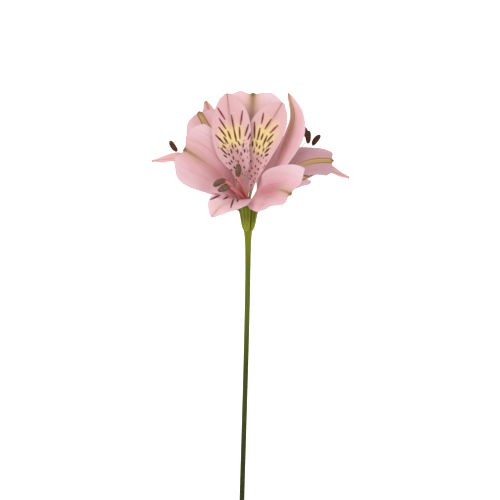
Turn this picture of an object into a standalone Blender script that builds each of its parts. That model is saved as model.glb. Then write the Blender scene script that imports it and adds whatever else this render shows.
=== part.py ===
"""A cut alstroemeria stem: one bare stalk that carries an umbel of three open flowers, lying on its back.

Each flower is a pistil (pedicel, ovary and style in one), three outer tepals, three inner tepals,
six filaments and six anthers. The head frame has its origin where the stalk ends and the umbel starts,
with +X to the right, +Y up the stalk and +Z away from the surface. Lengths in the tables are millimetres.
"""

import math

import bmesh
import bpy
import numpy as np
from mathutils import Matrix, Vector

MM = 0.001
CURVE_STEPS = 16

# Where the head frame's origin stands, so that the row's origin is at the box's bottom centre
HEAD_IN_ROW = (-1.2, 68.2, 42.0)

# Stalk
STALK_PATH = ((0, -1.6, 0), (0, -12, -2.6), (-0.2, -30, -7.4), (-0.9, -60, -15.0), (-1.8, -92, -22.9),
              (-2.8, -126, -30.0), (-3.6, -160, -35.9), (-4.4, -198, -40.9))
STALK_RADII = ((0, 1.95), (0.008, 1.75), (0.017, 1.6), (0.035, 1.38), (0.055, 1.25), (0.1, 1.15), (0.4, 1.06),
               (0.65, 1.06), (0.8, 1.14), (1, 1.14))
STALK_POINTS = 34
STALK_CROWDING = 1.5

# Pistil: radius along the pedicel, the ribbed ovary and the style, from its base to the stigma
OVARY_RADII = ((0, 0.85), (0.13, 1.2), (0.32, 1.5), (0.52, 1.7), (0.74, 1.95), (0.88, 2.15), (1, 1.75))
STYLE_RADIUS = 0.3
STYLE_SHARE = 0.33
STYLE_POINTS = 7
PEDICEL_POINTS = 10
PEDICEL_RING = 1.15
PEDICEL_LIFT = 0.5
HIP_RISE = 2.2
HIP_SPREAD = 0.8
NECK_DROP = 3.2
NECK_SPREAD = 0.5
CROWN_RISE = 0.15

# Perianth: where the claws and filaments stand on the ovary's rim
OUTER_RING = 2.3
INNER_RING = 1.72
FILAMENT_RING = 1.0
CLAW_LIFT = 0.55
CLAW_LENGTH = 3.0
CLAW_FLARE = 0.25
CLAW_CUP = 0.35
TURN_SHARE = 0.45
WAVES_ALONG = 9
WAVES_ACROSS = 2
SPINE_STEPS = 41
TEPAL_THICKNESS = 0.42
TEPAL_ROWS = 12
TEPAL_COLUMNS = 8

# Half-width along a tepal as a share of its widest half-width, from the claw to the end
OUTER_OUTLINE = ((0, 0.085), (0.1, 0.09), (0.22, 0.2), (0.38, 0.52), (0.55, 0.84), (0.7, 0.98), (0.8, 1.0),
                 (0.9, 0.95), (1, 0.8))
BROAD_OUTLINE = ((0, 0.085), (0.08, 0.12), (0.16, 0.22), (0.3, 0.48), (0.48, 0.76), (0.64, 0.95), (0.8, 1.02),
                 (0.9, 0.96), (1, 0.82))
POINTED_OUTLINE = ((0, 0.085), (0.1, 0.09), (0.22, 0.2), (0.38, 0.52), (0.55, 0.88), (0.68, 1.0), (0.8, 0.88),
                   (0.9, 0.62), (1, 0.34))
BROAD_INNER_OUTLINE = ((0, 0.13), (0.08, 0.17), (0.18, 0.37), (0.3, 0.65), (0.46, 0.9), (0.64, 1.0),
                       (0.8, 0.93), (0.9, 0.72), (1, 0.45))
INNER_OUTLINE = ((0, 0.12), (0.12, 0.13), (0.22, 0.24), (0.34, 0.5), (0.48, 0.8), (0.64, 1.0), (0.8, 0.93),
                 (0.9, 0.72), (1, 0.45))

# Ends of tepals: share of the length at the shoulders, depth of the notch and height of the point in it
ROUND_END = (0.82, 0.05, 0.04)
END_FULLNESS = 2.4
NOTCH_WIDTH = 0.3
POINT_WIDTH = 0.1

# Stamens
FILAMENT_RADIUS = 0.42
FILAMENT_POINTS = 9
ARCH = 0.065
ARCH_RISE = 2.0
ANTHER_LENGTH = 6.4
ANTHER_RADIUS = 1.3
ANTHER_GAP = 0.3

PINK = (0.84, 0.55, 0.58, 1)
PALE_PINK = (0.86, 0.62, 0.6, 1)
CORAL = (0.62, 0.2, 0.2, 1)
BROWN = (0.16, 0.09, 0.06, 1)
GREEN = (0.25, 0.3, 0.05, 1)


class Flower:
    """One flower's base on the umbel, its axis, and the clock that places its organs round the rim."""

    def __init__(self, name, foot_angle, base, axis, up, clock):
        self.name = name
        self.foot_angle = math.radians(foot_angle)
        self.base = np.array(base, float)
        self.axis = unit(axis)
        self.up = unit(np.array(up, float) - np.dot(up, self.axis) * self.axis)
        self.side = np.cross(self.axis, self.up)
        self.clock = clock

    def outward(self, hour):
        angle = math.radians(hour + self.clock)
        return math.cos(angle) * self.up + math.sin(angle) * self.side

    def rim(self, hour, radius, lift):
        return self.base + radius * self.outward(hour) + lift * self.axis


def unit(vector):
    vector = np.array(vector, float)
    return vector / np.linalg.norm(vector)


def smooth_curve(points, shares):
    """Points at the given shares of the length of a Catmull-Rom curve through the points."""
    points = np.array(points, float)
    padded = np.vstack([2 * points[0] - points[1], points, 2 * points[-1] - points[-2]])
    dense = []
    for a, b, c, d in zip(padded, padded[1:], padded[2:], padded[3:]):
        for t in np.linspace(0, 1, CURVE_STEPS, endpoint=False):
            dense.append(0.5 * (2 * b + (c - a) * t + (2 * a - 5 * b + 4 * c - d) * t**2
                                + (3 * b - a - 3 * c + d) * t**3))
    dense = np.array(dense + [points[-1]])
    length = np.concatenate([[0], np.cumsum(np.linalg.norm(np.diff(dense, axis=0), axis=1))])
    return np.stack([np.interp(np.array(shares) * length[-1], length, dense[:, i]) for i in range(3)], axis=1)


def at(table, share):
    """The value of a (share, value) table at a share, with linear steps between its entries."""
    return np.interp(share, [row[0] for row in table], [row[1] for row in table])


def material(name, colour, roughness):
    made = bpy.data.materials.new(name)
    made.use_nodes = True
    shader = made.node_tree.nodes["Principled BSDF"]
    shader.inputs["Base Color"].default_value = colour
    shader.inputs["Roughness"].default_value = roughness
    shader.inputs["Metallic"].default_value = 0.0
    return made


def place(obj, head, collection, finish):
    obj.data.materials.append(finish)
    collection.objects.link(obj)
    obj.parent = head
    return obj


def tube(name, points, radii, bevel_resolution):
    """A closed round tube along the points, in millimetres, with a radius at each point."""
    curve = bpy.data.curves.new(name, "CURVE")
    curve.dimensions = "3D"
    curve.bevel_depth = MM
    curve.bevel_resolution = bevel_resolution
    curve.use_fill_caps = True
    spline = curve.splines.new("POLY")
    spline.points.add(len(points) - 1)
    for spot, point, radius in zip(spline.points, points, radii):
        spot.co = (*(np.array(point) * MM), 1)
        spot.radius = radius
    return bpy.data.objects.new(name, curve)


def end_of_line(across, end, skew):
    """Share of the tepal's length at which the line at this share of its width ends.

    The end is rounded from its shoulders to the middle, where a small point stands in a shallow notch.
    """
    shoulder, notch, point = end
    shoulder = shoulder + skew * across
    rounded = shoulder + (1 - shoulder) * math.sqrt(max(0.0, 1 - abs(across) ** END_FULLNESS))
    hollow = notch * math.exp(-((across / NOTCH_WIDTH) ** 2))
    return rounded - hollow + point * math.exp(-((across / POINT_WIDTH) ** 2))


def tepal_surface(flower, leaf):
    """A function from (share along, share across) to a point on a tepal's middle surface."""
    ring = OUTER_RING if leaf["whorl"] == "outer" else INNER_RING
    outline = leaf.get("outline", OUTER_OUTLINE if leaf["whorl"] == "outer" else INNER_OUTLINE)
    root = flower.rim(leaf["hour"], ring, CLAW_LIFT)
    lead = root + CLAW_LENGTH * unit(flower.axis + CLAW_FLARE * flower.outward(leaf["hour"]))
    path = [root, lead, *leaf["path"]]
    shares = np.linspace(0, 1, SPINE_STEPS)
    spine = smooth_curve(path, shares)
    tangents = np.gradient(spine, axis=0)
    inward = -flower.outward(leaf["hour"])
    end, skew = leaf.get("end", ROUND_END), leaf.get("skew", 0)

    def spot(along, across):
        share = along * end_of_line(across, end, skew)
        centre = np.array([np.interp(share, shares, spine[:, i]) for i in range(3)])
        heading = unit([np.interp(share, shares, tangents[:, i]) for i in range(3)])
        turned = min(1.0, share / TURN_SHARE)
        face = unit(inward * (1 - turned) + unit(leaf["face"]) * turned)
        side = unit(np.cross(heading, face))
        normal = np.cross(side, heading)
        half_width = leaf["half_width"] * at(outline, share * (1 - 2 * skew * across))
        cup = leaf["cup"][0 if across < 0 else 1] * min(1.0, CLAW_CUP + share)
        bend = cup * across
        reach = half_width * across
        sideways = reach * (math.sin(bend) / bend if bend else 1)
        lift = reach * ((1 - math.cos(bend)) / bend if bend else 0)
        phase = WAVES_ALONG * share + WAVES_ACROSS * across
        wave = leaf.get("wave", 0) * half_width * abs(across) ** 3 * math.sin(phase)
        return centre + sideways * side + (lift + wave) * normal

    return spot


def tepal(flower, leaf, head, collection, finish):
    """One tepal: a grid shaped to its surface and thickened both ways."""
    name = f"{flower.name}_{leaf['name']}"
    spot = tepal_surface(flower, leaf)
    mesh = bpy.data.meshes.new(name)
    grid = bmesh.new()
    bmesh.ops.create_grid(grid, x_segments=TEPAL_COLUMNS, y_segments=TEPAL_ROWS, size=1)
    for vert in grid.verts:
        across = math.sin(vert.co.x * math.pi / 2)
        along = (vert.co.y + 1) / 2
        vert.co = Vector(spot(along, across)) * MM
    grid.to_mesh(mesh)
    grid.free()
    mesh.shade_smooth()
    obj = place(bpy.data.objects.new(name, mesh), head, collection, finish)
    shell = obj.modifiers.new("thickness", "SOLIDIFY")
    shell.thickness = TEPAL_THICKNESS * MM
    shell.offset = 0
    shell.use_even_offset = False


def arch(flower, root, end, share, count):
    """Points along a share of a curve that leaves the root along the flower's axis and arches over to an end."""
    middle = 0.5 * (root + end) + ARCH * np.linalg.norm(end - root) * flower.axis
    return smooth_curve([root, root + ARCH_RISE * flower.axis, middle, end], np.linspace(0, share, count))


def pistil(flower, head, collection, finish):
    """Pedicel, ovary and style of one flower, as one tube that bends from the stalk into the flower."""
    lean = np.array([math.cos(flower.foot_angle), 0, math.sin(flower.foot_angle)])
    foot = PEDICEL_RING * lean + np.array([0, STALK_PATH[0][1] + PEDICEL_LIFT, 0])
    neck = flower.base - NECK_DROP * flower.axis + NECK_SPREAD * lean
    hip = foot + HIP_SPREAD * lean + np.array([0, HIP_RISE, 0])
    bend = [foot, hip, neck, flower.base]
    shares = np.linspace(0, 1, PEDICEL_POINTS)
    body = smooth_curve(bend, shares)
    crown = flower.base + CROWN_RISE * flower.axis
    style = arch(flower, crown, flower.stamen_mean, STYLE_SHARE, STYLE_POINTS)
    radii = [at(OVARY_RADII, share) for share in shares] + [STYLE_RADIUS] * STYLE_POINTS
    place(tube(f"{flower.name}_pistil", [*body, *style], radii, 2), head, collection, finish)


def stamen(flower, number, hour, tip, tilt, head, collection, filament_finish, anther_finish):
    """One filament from the rim to its anther, and the anther at its end."""
    root = flower.rim(hour, FILAMENT_RING, CLAW_LIFT)
    tip = np.array(tip, float)
    tilt = unit(tilt)
    joint = tip - tilt * (ANTHER_LENGTH / 2 + ANTHER_GAP)
    points = arch(flower, root, joint, 1, FILAMENT_POINTS)
    obj = tube(f"{flower.name}_filament_{number}", points, [FILAMENT_RADIUS] * FILAMENT_POINTS, 1)
    place(obj, head, collection, filament_finish)
    name = f"{flower.name}_anther_{number}"
    mesh = bpy.data.meshes.new(name)
    ball = bmesh.new()
    bmesh.ops.create_uvsphere(ball, u_segments=8, v_segments=7, radius=1)
    shape = Matrix.Diagonal((ANTHER_RADIUS * MM, ANTHER_RADIUS * MM, ANTHER_LENGTH / 2 * MM, 1))
    turn = Vector(tilt).to_track_quat("Z", "Y").to_matrix().to_4x4()
    bmesh.ops.transform(ball, matrix=Matrix.Translation(Vector(tip) * MM) @ turn @ shape, verts=ball.verts)
    ball.to_mesh(mesh)
    ball.free()
    mesh.shade_smooth()
    place(bpy.data.objects.new(name, mesh), head, collection, anther_finish)


def stalk(head, collection, finish):
    shares = np.linspace(0, 1, STALK_POINTS) ** STALK_CROWDING
    points = smooth_curve(STALK_PATH, shares)
    radii = [at(STALK_RADII, share) for share in shares]
    place(tube("stalk", points, radii, 3), head, collection, finish)


# The three flowers: angle of the pedicel's foot, base on the umbel, axis, direction of hour 0, clock's start
FRONT = Flower("front", 104, (-1.0, 10.8, 4.6), (-0.1, 0.6, 0.8), (0, 1, 0), 0)
LEFT = Flower("left", 218, (-3.3, 8.8, -3.6), (-0.52, 0.7, -0.48), (0, 0.6, 0.8), 0)
RIGHT = Flower("right", -18, (3.8, 8.8, -3.2), (0.55, 0.7, -0.46), (0, 0.6, 0.8), -30)

TEPALS = {
    "front": (
        {"name": "tepal_outer_top", "whorl": "outer", "hour": 0, "half_width": 14.8, "cup": (0.2, 0.2),
         "path": ((0.6, 28, 6.0), (1.6, 44, 6.5), (2.4, 62.2, 6.0)), "face": (0, -0.05, 1), "wave": 0.08,
         "end": (0.9, 0.04, 0.02)},
        {"name": "tepal_inner_left", "whorl": "inner", "hour": 60, "half_width": 9.2, "cup": (0.3, 0.1),
         "path": ((-3.6, 26, 13.5), (-7.2, 36, 15.6), (-7.8, 46, 16), (-9.6, 60.6, 15)),
         "face": (0.1, -0.1, 1), "end": (0.82, 0.0, 0.03)},
        {"name": "tepal_outer_left", "whorl": "outer", "hour": 120, "half_width": 16.4, "cup": (0.3, 0.1),
         "path": ((-9.5, 19.2, 13.5), (-17, 26.8, 17.5), (-24.6, 32.2, 20.5), (-31.6, 36.4, 22)),
         "face": (0.3, 0.3, 0.9), "end": (0.85, 0.08, 0.02), "skew": 0.01},
        {"name": "tepal_inner_low", "whorl": "inner", "hour": 180, "half_width": 7.8, "cup": (0.2, 0.4),
         "path": ((-4.3, 11.9, 19.5), (-8.8, 10.4, 28.5), (-13.2, 8.0, 33), (-16.4, 4.0, 36)),
         "face": (-0.2, 0.6, 0.8), "end": (0.74, 0.0, 0.05), "outline": BROAD_INNER_OUTLINE},
        {"name": "tepal_outer_right", "whorl": "outer", "hour": 240, "half_width": 13.2, "cup": (0.4, 0.5),
         "path": ((5, 14.4, 19), (10.1, 16.3, 26), (15.8, 16.0, 34), (20.6, 13.6, 39)),
         "face": (-0.2, 0.35, 0.9), "end": (0.87, 0.07, 0.03), "skew": -0.07, "outline": BROAD_OUTLINE},
        {"name": "tepal_inner_right", "whorl": "inner", "hour": 300, "half_width": 8.5, "cup": (0.1, 0.35),
         "path": ((3.3, 27, 10.2), (6.7, 40, 11.4), (15.8, 56.5, 12.5)), "face": (-0.1, -0.1, 1),
         "end": (0.82, 0.0, 0.03)},
    ),
    "left": (
        {"name": "tepal_outer_front", "whorl": "outer", "hour": 0, "half_width": 11.2, "cup": (0.3, 0.3),
         "path": ((-9, 24, 0), (-16.5, 41, 0), (-22.8, 52.6, -2)), "face": (-0.2, -0.2, -1),
         "end": (0.78, 0.02, 0.03)},
        {"name": "tepal_inner_top", "whorl": "inner", "hour": 60, "half_width": 5.6, "cup": (0.3, 0.3),
         "path": ((-8, 26, -7), (-14.2, 42, -12), (-19.6, 58, -16)), "face": (-0.5, -0.1, -0.8),
         "end": (0.78, 0.0, 0.03)},
        {"name": "tepal_outer_top", "whorl": "outer", "hour": 120, "half_width": 12.5, "cup": (0.3, 0.3),
         "path": ((-3.4, 22.5, -15.5), (1, 31.5, -28), (3, 37, -40.2)), "face": (-0.6, 0.5, -0.2)},
        {"name": "tepal_inner_back", "whorl": "inner", "hour": 180, "half_width": 6.8, "cup": (0.3, 0.3),
         "path": ((-8.6, 16.2, -15.6), (-13.4, 25.4, -28.6), (-15, 32.6, -41.85)), "face": (-0.4, 0.8, 0.3),
         "end": (0.78, 0.0, 0.03)},
        {"name": "tepal_outer_back", "whorl": "outer", "hour": 240, "half_width": 10.5, "cup": (0.3, 0.3),
         "path": ((-11, 12.5, -12), (-18, 16.5, -24), (-23, 20.5, -37)), "face": (0.2, 0.9, 0.2)},
        {"name": "tepal_inner_left", "whorl": "inner", "hour": 300, "half_width": 6.0, "cup": (0.3, 0.3),
         "path": ((-15, 16.5, -8), (-30, 30, -12), (-44.6, 30.2, -14)), "face": (0.2, 0.9, 0.4),
         "end": (0.78, 0.0, 0.03)},
    ),
    "right": (
        {"name": "tepal_outer_front", "whorl": "outer", "hour": 0, "half_width": 7.4, "cup": (0.5, 2.0),
         "path": ((7.8, 20, 2), (13.2, 28, 4), (17.8, 39.6, 6), (20.8, 50, 5), (18.6, 61.0, 3)),
         "face": (0.5, 0, -0.87), "end": (0.6, 0.0, 0.04), "outline": POINTED_OUTLINE},
        {"name": "tepal_inner_front", "whorl": "inner", "hour": 60, "half_width": 6.0, "cup": (0.3, 0.3),
         "path": ((11.5, 21, -7), (17, 33, -11), (22, 46, -13)), "face": (0.6, 0, -0.8),
         "end": (0.78, 0.0, 0.03)},
        {"name": "tepal_outer_right", "whorl": "outer", "hour": 120, "half_width": 8.9, "cup": (0.9, 0.9),
         "path": ((12, 17.5, -1), (22.5, 27.0, -1), (31, 30.0, -3), (40.0, 30.2, -6)),
         "face": (-0.1, 0.1, -1), "end": (0.82, 0.04, 0.03), "skew": -0.14},
        {"name": "tepal_inner_right", "whorl": "inner", "hour": 180, "half_width": 6.0, "cup": (0.3, 0.3),
         "path": ((16, 15.8, -12), (32, 26, -18), (47.0, 22.6, -21)), "face": (-0.3, 0.85, 0.4),
         "end": (0.78, 0.0, 0.03)},
        {"name": "tepal_outer_back", "whorl": "outer", "hour": 240, "half_width": 13.0, "cup": (0.3, 0.3),
         "path": ((8, 16, -15), (15, 22, -28), (20, 25, -41.4)), "face": (0.3, 0.8, 0.2)},
        {"name": "tepal_inner_left", "whorl": "inner", "hour": 300, "half_width": 7.0, "cup": (0.3, 0.3),
         "path": ((4.6, 18, -5), (7.5, 27, -8), (9.5, 35, -11), (11, 50, -16)), "face": (0.5, -0.1, -0.8),
         "end": (0.78, 0.0, 0.03)},
    ),
}

# Anther middles and the direction that each points in, for the hours 30, 90, 150, 210, 270 and 330
STAMENS = {
    "front": (((-12.6, 19.8, 25), (-0.85, -0.3, 0.2)), ((-10.2, 17.4, 21), (-0.9, -0.3, 0.2)),
              ((-13.1, 19.3, 34), (-0.85, -0.45, 0.2)), ((-10.8, 16.6, 37), (-0.95, -0.3, 0.2)),
              ((-4.8, 25.3, 31), (0.1, 1, 0.2)), ((-4.6, 25.1, 20), (0.1, 1, 0.2))),
    "left": (((-25, 40, -12), (-0.4, 0.8, -0.2)), ((-22, 40, -20), (-0.4, 0.7, -0.5)),
             ((-23, 34, -27), (-0.5, 0.4, -0.7)), ((-28, 31, -24), (-0.7, 0.4, -0.6)),
             ((-34.3, 37, -9), (-0.55, 0.82, 0)), ((-26.2, 35.4, -6.5), (-0.3, 0.9, 0))),
    "right": (((28.1, 41.2, -14), (0.05, 1, 0)), ((31.7, 39.8, -17), (0.6, 0.8, 0)),
              ((31, 34, -21), (0.6, 0.5, -0.5)), ((27, 33, -27), (0.5, 0.5, -0.7)),
              ((22, 37, -27), (0.2, 0.8, -0.5)), ((27.1, 43.2, -21), (-0.3, 0.9, 0))),
}
STAMEN_HOURS = (30, 90, 150, 210, 270, 330)


def clear_scene():
    for obj in list(bpy.data.objects):
        bpy.data.objects.remove(obj)


def main():
    clear_scene()
    collection = bpy.data.collections.new("alstroemeria_stem")
    bpy.context.scene.collection.children.link(collection)
    head = bpy.data.objects.new("head", None)
    head.location = Vector(HEAD_IN_ROW) * MM
    collection.objects.link(head)
    outer_finish = material("outer_tepal", PINK, 0.6)
    inner_finish = material("inner_tepal", PALE_PINK, 0.6)
    filament_finish = material("filament", CORAL, 0.5)
    anther_finish = material("anther", BROWN, 0.8)
    green_finish = material("stalk", GREEN, 0.5)
    stalk(head, collection, green_finish)
    for flower in (FRONT, LEFT, RIGHT):
        stamens = STAMENS[flower.name]
        flower.stamen_mean = np.mean([tip for tip, tilt in stamens], axis=0)
        pistil(flower, head, collection, green_finish)
        for leaf in TEPALS[flower.name]:
            finish = outer_finish if leaf["whorl"] == "outer" else inner_finish
            tepal(flower, leaf, head, collection, finish)
        for number, (hour, (tip, tilt)) in enumerate(zip(STAMEN_HOURS, stamens), start=1):
            stamen(flower, number, hour, tip, tilt, head, collection, filament_finish, anther_finish)


main()
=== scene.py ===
"""The look of the cut alstroemeria stem: petals, stamens, pistils and stalk, each in its CAD node's place.

The head frame has its origin where the stalk ends and the umbel starts, with +X to the right, +Y up the
stalk and +Z away from the surface that the stem lies on. Lengths in the tables are millimetres, and a share
runs from 0 at the start of a piece to 1 at its end.
"""

import math

import bpy
import numpy as np
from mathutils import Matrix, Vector


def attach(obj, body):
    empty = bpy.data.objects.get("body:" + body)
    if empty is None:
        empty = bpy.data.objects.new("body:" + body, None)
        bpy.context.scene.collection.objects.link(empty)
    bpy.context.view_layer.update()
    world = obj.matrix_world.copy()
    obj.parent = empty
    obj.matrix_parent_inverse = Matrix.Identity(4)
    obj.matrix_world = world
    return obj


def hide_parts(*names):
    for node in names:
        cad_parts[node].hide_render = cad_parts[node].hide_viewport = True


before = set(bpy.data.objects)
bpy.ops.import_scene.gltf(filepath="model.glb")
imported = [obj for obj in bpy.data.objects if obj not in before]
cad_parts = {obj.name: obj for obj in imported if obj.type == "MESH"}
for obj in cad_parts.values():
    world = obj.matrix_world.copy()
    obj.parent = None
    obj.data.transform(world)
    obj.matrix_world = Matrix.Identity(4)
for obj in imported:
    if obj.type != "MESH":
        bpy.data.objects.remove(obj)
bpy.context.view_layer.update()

MM = 0.001
HEAD_IN_ROW = np.array((-1.2, 68.2, 42.0))
DRAW_START = 7

# The photograph: its size in pixels, its scale, and the pixel where the umbel starts
PHOTO_PIXELS = 500
MM_PER_PIXEL = 0.46
UMBEL_PIXEL = (248, 226)

# Camera, light and floor, in metres and watts, but the sensor in millimetres. A lamp has a name, a place,
# a size and a power
CAMERA_HEIGHT = 2.5
CAMERA_REACH = 50
SENSOR_WIDTH = 36
LAMPS = (
    ("key", (-0.7, 0.6, 1.6), 0.9, 18.0),
    ("fill", (0.9, -0.4, 1.5), 1.2, 8.0),
)
WORLD_LIGHT = 0.62
FLOOR_SIZE = 30
FLOOR_GLOW = 0.62

# Stalk
STALK_PATH = ((0, -1.6, 0), (0, -12, -2.6), (-0.2, -30, -7.4), (-0.9, -60, -15.0), (-1.8, -92, -22.9),
              (-2.8, -126, -30.0), (-3.6, -160, -35.9), (-4.4, -198, -40.9))
STALK_RADII = ((0, 2.05), (0.008, 1.85), (0.017, 1.66), (0.035, 1.45), (0.055, 1.34), (0.1, 1.26),
               (0.4, 1.2), (0.65, 1.2), (0.8, 1.26), (1, 1.26))
STALK_RINGS = 260
STALK_CROWDING = 1.3
STALK_SIDES = 28
STALK_RIBS = 5
STALK_RIB_DEPTH = 0.02

# Pistil: the pedicel and the ovary in one body, and the style that rises from its crown
OVARY_RADII = ((0, 0.9), (0.13, 1.25), (0.32, 1.55), (0.52, 1.75), (0.74, 2.0), (0.88, 2.2), (1, 1.85))
OVARY_RIBS = 6
RIB_DEPTH = 0.09
PISTIL_RINGS = 70
PISTIL_SIDES = 48
PEDICEL_RING = 1.1
PEDICEL_SINK = 0.5
HIP_RISE = 2.2
HIP_SPREAD = 0.8
NECK_DROP = 3.2
NECK_SPREAD = 0.5
CROWN_DROP = 0.2
STYLE_RADIUS = 0.3
STYLE_SHARE = 0.33
STYLE_RINGS = 24
STYLE_SIDES = 12
STYLE_ALONG = 1.2

# Perianth: where the claws and filaments stand on the ovary's rim, and how a claw leaves it
OUTER_RING = 2.2
INNER_RING = 1.7
FILAMENT_RING = 1.0
CLAW_LENGTH = 3.0
CLAW_FLARE = 0.25
CLAW_CUP = 0.35
TURN_SHARE = 0.45

# Grids of a tepal as rows along it and columns across it: fine where the photograph shows the markings
FINE_GRID = (240, 97)
PLAIN_GRID = (120, 49)
SPINE_STEPS = 81
CURVE_STEPS = 16

# Half-width along a tepal as a share of its widest half-width, from the claw to the end
OUTER_OUTLINE = ((0, 0.085), (0.1, 0.09), (0.22, 0.2), (0.38, 0.52), (0.55, 0.84), (0.7, 0.98), (0.8, 1.0),
                 (0.9, 0.95), (1, 0.8))
BROAD_OUTLINE = ((0, 0.085), (0.08, 0.12), (0.16, 0.22), (0.3, 0.48), (0.48, 0.76), (0.64, 0.95),
                 (0.8, 1.02), (0.9, 0.96), (1, 0.82))
POINTED_OUTLINE = ((0, 0.085), (0.1, 0.09), (0.22, 0.2), (0.38, 0.52), (0.55, 0.88), (0.68, 1.0),
                   (0.8, 0.88), (0.9, 0.62), (1, 0.34))
BROAD_INNER_OUTLINE = ((0, 0.13), (0.08, 0.2), (0.18, 0.4), (0.3, 0.66), (0.46, 0.9), (0.64, 1.0),
                       (0.8, 0.93), (0.9, 0.72), (1, 0.45))
INNER_OUTLINE = ((0, 0.12), (0.12, 0.13), (0.22, 0.24), (0.34, 0.5), (0.48, 0.8), (0.64, 1.0), (0.8, 0.93),
                 (0.9, 0.72), (1, 0.45))
OUTLINE_WINDOW = 0.05

# The end of a tepal: its usual shoulder, notch and point, and the shape that each gives it
USUAL_END = (0.82, 0.05, 0.04)
ROUND_END = 2.4
NOTCH_WIDTH = 0.3
POINT_WIDTH = 0.1

# Ripples of a tepal's margin: heights, and how fast they run along it and across it
RUFFLE = 0.7
RUFFLES_ALONG = 17
RUFFLES_ACROSS = 3
WAVES_ALONG = 9
WAVES_ACROSS = 2
END_RUFFLE = 0.012
END_RUFFLES = 11

# Thickness of a tepal, the fold along its middle, the keel at its back and the lump at its tip
TEPAL_THICKNESS = 0.34
MIDDLE_THICKNESS = 1.15
MARGIN_THINNING = 0.75
END_THINNING = 0.35
THINNEST = 0.05
RIB_HEIGHT = 0.22
INNER_RIB = 0.5
FOLD_WIDTH = 0.07
FOLD_RISE = 2.5
KEEL_WIDTH = 0.09
TIP_LUMP = 0.3
TIP_WIDTH = 0.05
TIP_LENGTH = 0.04

# Stamens. The front flower's filaments are thick, to make the bundle that the photograph shows
ARCH = 0.065
ARCH_RISE = 2.0
FILAMENT_RADII = ((0, 0.72), (0.35, 0.7), (0.8, 0.48), (1, 0.16))
FILAMENT_THICKNESS = {"front": 1.0, "left": 0.55, "right": 0.55}
FILAMENT_RINGS = 48
FILAMENT_SIDES = 14
FILAMENT_SINK = 0.2
ANTHER_LENGTH = 6.1
ANTHER_RADIUS = 1.15
ANTHER_RINGS = 36
ANTHER_SIDES = 28
ANTHER_BOW = 0.35
ANTHER_FULLNESS = 2.3
ANTHER_LOBES = 2
LOBE_DEPTH = 0.14
STAMEN_HOURS = (30, 90, 150, 210, 270, 330)


def unit(vector):
    """The vector, or each row of them, at a length of 1."""
    vector = np.array(vector, float)
    return vector / np.linalg.norm(vector, axis=-1, keepdims=True)


class Flower:
    """One flower's base on the umbel, its axis, and the clock that places its organs round the rim."""

    def __init__(self, name, foot_angle, base, axis, up, clock):
        self.name = name
        self.foot_angle = math.radians(foot_angle)
        self.base = np.array(base, float)
        self.axis = unit(axis)
        self.up = unit(np.array(up, float) - np.dot(up, self.axis) * self.axis)
        self.side = np.cross(self.axis, self.up)
        self.clock = clock

    def outward(self, hour):
        """The direction that points away from the axis at an hour of the clock."""
        angle = math.radians(hour + self.clock)
        return math.cos(angle) * self.up + math.sin(angle) * self.side

    def rim(self, hour, radius):
        """A place on a ring round the top of the ovary."""
        return self.base + radius * self.outward(hour)


# The three flowers: angle of the pedicel's foot, base on the umbel, axis, direction of hour 0, clock's start
FRONT = Flower("front", 104, (-1.0, 10.8, 4.6), (-0.1, 0.6, 0.8), (0, 1, 0), 0)
LEFT = Flower("left", 218, (-3.3, 8.8, -3.6), (-0.52, 0.7, -0.48), (0, 0.6, 0.8), 0)
RIGHT = Flower("right", -18, (3.8, 8.8, -3.2), (0.55, 0.7, -0.46), (0, 0.6, 0.8), -30)

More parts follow.
